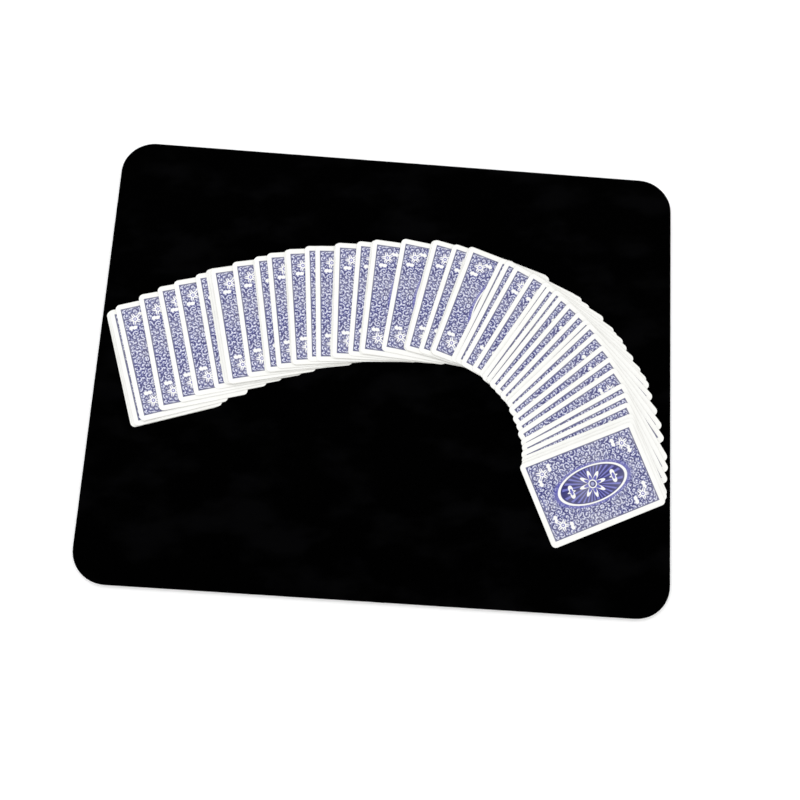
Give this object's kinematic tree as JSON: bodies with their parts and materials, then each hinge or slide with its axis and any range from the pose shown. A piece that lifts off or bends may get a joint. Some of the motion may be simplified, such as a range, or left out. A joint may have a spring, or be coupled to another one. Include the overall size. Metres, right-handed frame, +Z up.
{
  "type": "card magic mat set",
  "caption": "Close-up magic mat with a full deck of playing cards lying on it face down in a curved ribbon spread, each card hinged on its leading edge so that the whole spread turns over.",
  "frame": {"origin": "centre of the mat's underside, which rests on the table", "axes": "+X along the mat's length from the bottom card to the top card's end, +Y across the mat away from the performer, +Z up"},
  "size_m": [0.412, 0.328, 0.0105],
  "materials": {
    "mat_rubber": "matt moulded rubber with a fine non-slip tread",
    "mat_fabric": "short black velvet pile",
    "card_stock": "coated card, embossed with a fine linen texture, printed both sides"
  },
  "bodies": {
    "mat": {"mat_rubber_base": "mat_rubber", "mat_fabric_top": "mat_fabric"},
    "card_01": {"card_01": "card_stock"},
    "card_02": {"card_02": "card_stock"},
    "card_03": {"card_03": "card_stock"},
    "card_04": {"card_04": "card_stock"},
    "card_05": {"card_05": "card_stock"},
    "card_06": {"card_06": "card_stock"},
    "card_07": {"card_07": "card_stock"},
    "card_08": {"card_08": "card_stock"},
    "card_09": {"card_09": "card_stock"},
    "card_10": {"card_10": "card_stock"},
    "card_11": {"card_11": "card_stock"},
    "card_12": {"card_12": "card_stock"},
    "card_13": {"card_13": "card_stock"},
    "card_14": {"card_14": "card_stock"},
    "card_15": {"card_15": "card_stock"},
    "card_16": {"card_16": "card_stock"},
    "card_17": {"card_17": "card_stock"},
    "card_18": {"card_18": "card_stock"},
    "card_19": {"card_19": "card_stock"},
    "card_20": {"card_20": "card_stock"},
    "card_21": {"card_21": "card_stock"},
    "card_22": {"card_22": "card_stock"},
    "card_23": {"card_23": "card_stock"},
    "card_24": {"card_24": "card_stock"},
    "card_25": {"card_25": "card_stock"},
    "card_26": {"card_26": "card_stock"},
    "card_27": {"card_27": "card_stock"},
    "card_28": {"card_28": "card_stock"},
    "card_29": {"card_29": "card_stock"},
    "card_30": {"card_30": "card_stock"},
    "card_31": {"card_31": "card_stock"},
    "card_32": {"card_32": "card_stock"},
    "card_33": {"card_33": "card_stock"},
    "card_34": {"card_34": "card_stock"},
    "card_35": {"card_35": "card_stock"},
    "card_36": {"card_36": "card_stock"},
    "card_37": {"card_37": "card_stock"},
    "card_38": {"card_38": "card_stock"},
    "card_39": {"card_39": "card_stock"},
    "card_40": {"card_40": "card_stock"},
    "card_41": {"card_41": "card_stock"},
    "card_42": {"card_42": "card_stock"},
    "card_43": {"card_43": "card_stock"},
    "card_44": {"card_44": "card_stock"},
    "card_45": {"card_45": "card_stock"},
    "card_46": {"card_46": "card_stock"},
    "card_47": {"card_47": "card_stock"},
    "card_48": {"card_48": "card_stock"},
    "card_49": {"card_49": "card_stock"},
    "card_50": {"card_50": "card_stock"},
    "card_51": {"card_51": "card_stock"},
    "card_52": {"card_52": "card_stock"}
  },
  "joints": [
    {"name": "card_01_turn", "type": "hinge", "parent": "mat", "child": "card_01", "pos_m": [-0.13009, 0.00722, 0.00454], "axis": [-0.3151, 0.949, 0], "range_deg": [0, 176.35]},
    {"name": "card_02_turn", "type": "hinge", "parent": "mat", "child": "card_02", "pos_m": [-0.12929, 0.00789, 0.00456], "axis": [-0.3169, 0.9485, 0], "range_deg": [0, 176.66]},
    {"name": "card_03_turn", "type": "hinge", "parent": "mat", "child": "card_03", "pos_m": [-0.12785, 0.00818, 0.00459], "axis": [-0.32, 0.9474, 0], "range_deg": [0, 176.41]},
    {"name": "card_04_turn", "type": "hinge", "parent": "mat", "child": "card_04", "pos_m": [-0.12389, 0.01165, 0.00462], "axis": [-0.3176, 0.9482, 0], "range_deg": [0, 175.69]},
    {"name": "card_05_turn", "type": "hinge", "parent": "mat", "child": "card_05", "pos_m": [-0.10909, 0.01818, 0.00449], "axis": [-0.2816, 0.9595, 0], "range_deg": [0, 174.65]},
    {"name": "card_06_turn", "type": "hinge", "parent": "mat", "child": "card_06", "pos_m": [-0.09638, 0.02532, 0.00432], "axis": [-0.2845, 0.9587, 0], "range_deg": [0, 173.92]},
    {"name": "card_07_turn", "type": "hinge", "parent": "mat", "child": "card_07", "pos_m": [-0.08548, 0.03026, 0.00422], "axis": [-0.276, 0.9612, 0], "range_deg": [0, 173.51]},
    {"name": "card_08_turn", "type": "hinge", "parent": "mat", "child": "card_08", "pos_m": [-0.07102, 0.03552, 0.00436], "axis": [-0.2594, 0.9658, 0], "range_deg": [0, 173.47]},
    {"name": "card_09_turn", "type": "hinge", "parent": "mat", "child": "card_09", "pos_m": [-0.06418, 0.03881, 0.00446], "axis": [-0.2499, 0.9683, 0], "range_deg": [0, 173.77]},
    {"name": "card_10_turn", "type": "hinge", "parent": "mat", "child": "card_10", "pos_m": [-0.06271, 0.0391, 0.00447], "axis": [-0.2469, 0.9691, 0], "range_deg": [0, 173.93]},
    {"name": "card_11_turn", "type": "hinge", "parent": "mat", "child": "card_11", "pos_m": [-0.06063, 0.03896, 0.00447], "axis": [-0.2453, 0.9695, 0], "range_deg": [0, 173.64]},
    {"name": "card_12_turn", "type": "hinge", "parent": "mat", "child": "card_12", "pos_m": [-0.04643, 0.04373, 0.00423], "axis": [-0.2214, 0.9752, 0], "range_deg": [0, 173.09]},
    {"name": "card_13_turn", "type": "hinge", "parent": "mat", "child": "card_13", "pos_m": [-0.03268, 0.0461, 0.00434], "axis": [-0.1895, 0.9819, 0], "range_deg": [0, 173.22]},
    {"name": "card_14_turn", "type": "hinge", "parent": "mat", "child": "card_14", "pos_m": [-0.03183, 0.04697, 0.00434], "axis": [-0.1921, 0.9814, 0], "range_deg": [0, 173.21]},
    {"name": "card_15_turn", "type": "hinge", "parent": "mat", "child": "card_15", "pos_m": [-0.02357, 0.04896, 0.00428], "axis": [-0.1714, 0.9852, 0], "range_deg": [0, 172.92]},
    {"name": "card_16_turn", "type": "hinge", "parent": "mat", "child": "card_16", "pos_m": [-0.01222, 0.0507, 0.00435], "axis": [-0.1424, 0.9898, 0], "range_deg": [0, 173.02]},
    {"name": "card_17_turn", "type": "hinge", "parent": "mat", "child": "card_17", "pos_m": [-0.01119, 0.05059, 0.00435], "axis": [-0.1369, 0.9906, 0], "range_deg": [0, 173.02]},
    {"name": "card_18_turn", "type": "hinge", "parent": "mat", "child": "card_18", "pos_m": [0.00121, 0.05203, 0.0042], "axis": [-0.1022, 0.9948, 0], "range_deg": [0, 172.76]},
    {"name": "card_19_turn", "type": "hinge", "parent": "mat", "child": "card_19", "pos_m": [0.00826, 0.05162, 0.0042], "axis": [-0.0848, 0.9964, 0], "range_deg": [0, 172.75]},
    {"name": "card_20_turn", "type": "hinge", "parent": "mat", "child": "card_20", "pos_m": [0.02021, 0.05197, 0.00434], "axis": [-0.0398, 0.9992, 0], "range_deg": [0, 172.98]},
    {"name": "card_21_turn", "type": "hinge", "parent": "mat", "child": "card_21", "pos_m": [0.02119, 0.05247, 0.00434], "axis": [-0.0437, 0.999, 0], "range_deg": [0, 172.98]},
    {"name": "card_22_turn", "type": "hinge", "parent": "mat", "child": "card_22", "pos_m": [0.03465, 0.05203, 0.00428], "axis": [0.0063, 1, 0], "range_deg": [0, 172.83]},
    {"name": "card_23_turn", "type": "hinge", "parent": "mat", "child": "card_23", "pos_m": [0.04361, 0.05163, 0.00435], "axis": [0.0405, 0.9992, 0], "range_deg": [0, 173.09]},
    {"name": "card_24_turn", "type": "hinge", "parent": "mat", "child": "card_24", "pos_m": [0.04461, 0.05176, 0.00435], "axis": [0.0456, 0.999, 0], "range_deg": [0, 173.09]},
    {"name": "card_25_turn", "type": "hinge", "parent": "mat", "child": "card_25", "pos_m": [0.06248, 0.05039, 0.0042], "axis": [0.114, 0.9935, 0], "range_deg": [0, 172.78]},
    {"name": "card_26_turn", "type": "hinge", "parent": "mat", "child": "card_26", "pos_m": [0.08062, 0.04714, 0.00434], "axis": [0.19, 0.9818, 0], "range_deg": [0, 172.78]},
    {"name": "card_27_turn", "type": "hinge", "parent": "mat", "child": "card_27", "pos_m": [0.08162, 0.047, 0.00435], "axis": [0.1928, 0.9812, 0], "range_deg": [0, 172.76]},
    {"name": "card_28_turn", "type": "hinge", "parent": "mat", "child": "card_28", "pos_m": [0.0933, 0.04203, 0.00424], "axis": [0.2485, 0.9686, 0], "range_deg": [0, 172.27]},
    {"name": "card_29_turn", "type": "hinge", "parent": "mat", "child": "card_29", "pos_m": [0.10234, 0.03909, 0.00434], "axis": [0.2888, 0.9574, 0], "range_deg": [0, 172.3]},
    {"name": "card_30_turn", "type": "hinge", "parent": "mat", "child": "card_30", "pos_m": [0.10311, 0.03819, 0.00435], "axis": [0.2929, 0.9562, 0], "range_deg": [0, 172.28]},
    {"name": "card_31_turn", "type": "hinge", "parent": "mat", "child": "card_31", "pos_m": [0.1198, 0.0272, 0.00423], "axis": [0.3818, 0.9242, 0], "range_deg": [0, 171.6]},
    {"name": "card_32_turn", "type": "hinge", "parent": "mat", "child": "card_32", "pos_m": [0.12323, 0.0251, 0.00428], "axis": [0.3989, 0.917, 0], "range_deg": [0, 171.5]},
    {"name": "card_33_turn", "type": "hinge", "parent": "mat", "child": "card_33", "pos_m": [0.12761, 0.02039, 0.00431], "axis": [0.4302, 0.9027, 0], "range_deg": [0, 171.22]},
    {"name": "card_34_turn", "type": "hinge", "parent": "mat", "child": "card_34", "pos_m": [0.13628, 0.01348, 0.00421], "axis": [0.475, 0.88, 0], "range_deg": [0, 170.72]},
    {"name": "card_35_turn", "type": "hinge", "parent": "mat", "child": "card_35", "pos_m": [0.14214, 0.00591, 0.00423], "axis": [0.5206, 0.8538, 0], "range_deg": [0, 170.48]},
    {"name": "card_36_turn", "type": "hinge", "parent": "mat", "child": "card_36", "pos_m": [0.14398, 0.0024, 0.00428], "axis": [0.5335, 0.8458, 0], "range_deg": [0, 170.37]},
    {"name": "card_37_turn", "type": "hinge", "parent": "mat", "child": "card_37", "pos_m": [0.14737, -0.00131, 0.00432], "axis": [0.5561, 0.8311, 0], "range_deg": [0, 170.09]},
    {"name": "card_38_turn", "type": "hinge", "parent": "mat", "child": "card_38", "pos_m": [0.14952, -0.00589, 0.00436], "axis": [0.5714, 0.8207, 0], "range_deg": [0, 169.74]},
    {"name": "card_39_turn", "type": "hinge", "parent": "mat", "child": "card_39", "pos_m": [0.15313, -0.01236, 0.00433], "axis": [0.603, 0.7977, 0], "range_deg": [0, 169.27]},
    {"name": "card_40_turn", "type": "hinge", "parent": "mat", "child": "card_40", "pos_m": [0.15707, -0.01969, 0.00427], "axis": [0.6356, 0.772, 0], "range_deg": [0, 168.83]},
    {"name": "card_41_turn", "type": "hinge", "parent": "mat", "child": "card_41", "pos_m": [0.16025, -0.02546, 0.00433], "axis": [0.661, 0.7504, 0], "range_deg": [0, 168.72]},
    {"name": "card_42_turn", "type": "hinge", "parent": "mat", "child": "card_42", "pos_m": [0.16148, -0.02905, 0.00436], "axis": [0.6774, 0.7356, 0], "range_deg": [0, 168.67]},
    {"name": "card_43_turn", "type": "hinge", "parent": "mat", "child": "card_43", "pos_m": [0.16277, -0.03653, 0.0044], "axis": [0.704, 0.7102, 0], "range_deg": [0, 168.59]},
    {"name": "card_44_turn", "type": "hinge", "parent": "mat", "child": "card_44", "pos_m": [0.16506, -0.04589, 0.0045], "axis": [0.7362, 0.6768, 0], "range_deg": [0, 168.87]},
    {"name": "card_45_turn", "type": "hinge", "parent": "mat", "child": "card_45", "pos_m": [0.16681, -0.0547, 0.00462], "axis": [0.769, 0.6392, 0], "range_deg": [0, 169.56]},
    {"name": "card_46_turn", "type": "hinge", "parent": "mat", "child": "card_46", "pos_m": [0.16745, -0.06291, 0.0047], "axis": [0.7925, 0.6099, 0], "range_deg": [0, 170.46]},
    {"name": "card_47_turn", "type": "hinge", "parent": "mat", "child": "card_47", "pos_m": [0.16789, -0.07395, 0.00477], "axis": [0.8363, 0.5483, 0], "range_deg": [0, 171.55]},
    {"name": "card_48_turn", "type": "hinge", "parent": "mat", "child": "card_48", "pos_m": [0.16746, -0.08046, 0.00473], "axis": [0.8579, 0.5139, 0], "range_deg": [0, 172.57]},
    {"name": "card_49_turn", "type": "hinge", "parent": "mat", "child": "card_49", "pos_m": [0.16623, -0.08753, 0.00465], "axis": [0.8742, 0.4856, 0], "range_deg": [0, 173.51]},
    {"name": "card_50_turn", "type": "hinge", "parent": "mat", "child": "card_50", "pos_m": [0.16471, -0.09515, 0.00455], "axis": [0.8999, 0.436, 0], "range_deg": [0, 174.26]},
    {"name": "card_51_turn", "type": "hinge", "parent": "mat", "child": "card_51", "pos_m": [0.16451, -0.09806, 0.00446], "axis": [0.9016, 0.4325, 0], "range_deg": [0, 174.67]},
    {"name": "card_52_turn", "type": "hinge", "parent": "mat", "child": "card_52", "pos_m": [0.16326, -0.10124, 0.00437], "axis": [0.9039, 0.4278, 0], "range_deg": [0, 174.66]}
  ],
  "couplings": [
    {"joint": "card_02_turn", "follows": "card_01_turn", "ratio": 1.0017},
    {"joint": "card_03_turn", "follows": "card_01_turn", "ratio": 1.0003},
    {"joint": "card_04_turn", "follows": "card_01_turn", "ratio": 0.99627},
    {"joint": "card_05_turn", "follows": "card_01_turn", "ratio": 0.99039},
    {"joint": "card_06_turn", "follows": "card_01_turn", "ratio": 0.98623},
    {"joint": "card_07_turn", "follows": "card_01_turn", "ratio": 0.98392},
    {"joint": "card_08_turn", "follows": "card_01_turn", "ratio": 0.98368},
    {"joint": "card_09_turn", "follows": "card_01_turn", "ratio": 0.98535},
    {"joint": "card_10_turn", "follows": "card_01_turn", "ratio": 0.98626},
    {"joint": "card_11_turn", "follows": "card_01_turn", "ratio": 0.98462},
    {"joint": "card_12_turn", "follows": "card_01_turn", "ratio": 0.98155},
    {"joint": "card_13_turn", "follows": "card_01_turn", "ratio": 0.98225},
    {"joint": "card_14_turn", "follows": "card_01_turn", "ratio": 0.98222},
    {"joint": "card_15_turn", "follows": "card_01_turn", "ratio": 0.98057},
    {"joint": "card_16_turn", "follows": "card_01_turn", "ratio": 0.98113},
    {"joint": "card_17_turn", "follows": "card_01_turn", "ratio": 0.98113},
    {"joint": "card_18_turn", "follows": "card_01_turn", "ratio": 0.97965},
    {"joint": "card_19_turn", "follows": "card_01_turn", "ratio": 0.97958},
    {"joint": "card_20_turn", "follows": "card_01_turn", "ratio": 0.98089},
    {"joint": "card_21_turn", "follows": "card_01_turn", "ratio": 0.98087},
    {"joint": "card_22_turn", "follows": "card_01_turn", "ratio": 0.98005},
    {"joint": "card_23_turn", "follows": "card_01_turn", "ratio": 0.98153},
    {"joint": "card_24_turn", "follows": "card_01_turn", "ratio": 0.98154},
    {"joint": "card_25_turn", "follows": "card_01_turn", "ratio": 0.97975},
    {"joint": "card_26_turn", "follows": "card_01_turn", "ratio": 0.97976},
    {"joint": "card_27_turn", "follows": "card_01_turn", "ratio": 0.97965},
    {"joint": "card_28_turn", "follows": "card_01_turn", "ratio": 0.97689},
    {"joint": "card_29_turn", "follows": "card_01_turn", "ratio": 0.97702},
    {"joint": "card_30_turn", "follows": "card_01_turn", "ratio": 0.97694},
    {"joint": "card_31_turn", "follows": "card_01_turn", "ratio": 0.97309},
    {"joint": "card_32_turn", "follows": "card_01_turn", "ratio": 0.97252},
    {"joint": "card_33_turn", "follows": "card_01_turn", "ratio": 0.97092},
    {"joint": "card_34_turn", "follows": "card_01_turn", "ratio": 0.96806},
    {"joint": "card_35_turn", "follows": "card_01_turn", "ratio": 0.96673},
    {"joint": "card_36_turn", "follows": "card_01_turn", "ratio": 0.96611},
    {"joint": "card_37_turn", "follows": "card_01_turn", "ratio": 0.96449},
    {"joint": "card_38_turn", "follows": "card_01_turn", "ratio": 0.96251},
    {"joint": "card_39_turn", "follows": "card_01_turn", "ratio": 0.95988},
    {"joint": "card_40_turn", "follows": "card_01_turn", "ratio": 0.95738},
    {"joint": "card_41_turn", "follows": "card_01_turn", "ratio": 0.95674},
    {"joint": "card_42_turn", "follows": "card_01_turn", "ratio": 0.95645},
    {"joint": "card_43_turn", "follows": "card_01_turn", "ratio": 0.95598},
    {"joint": "card_44_turn", "follows": "card_01_turn", "ratio": 0.95757},
    {"joint": "card_45_turn", "follows": "card_01_turn", "ratio": 0.96152},
    {"joint": "card_46_turn", "follows": "card_01_turn", "ratio": 0.96662},
    {"joint": "card_47_turn", "follows": "card_01_turn", "ratio": 0.97279},
    {"joint": "card_48_turn", "follows": "card_01_turn", "ratio": 0.9786},
    {"joint": "card_49_turn", "follows": "card_01_turn", "ratio": 0.98388},
    {"joint": "card_50_turn", "follows": "card_01_turn", "ratio": 0.98815},
    {"joint": "card_51_turn", "follows": "card_01_turn", "ratio": 0.99049},
    {"joint": "card_52_turn", "follows": "card_01_turn", "ratio": 0.99045}
  ]
}
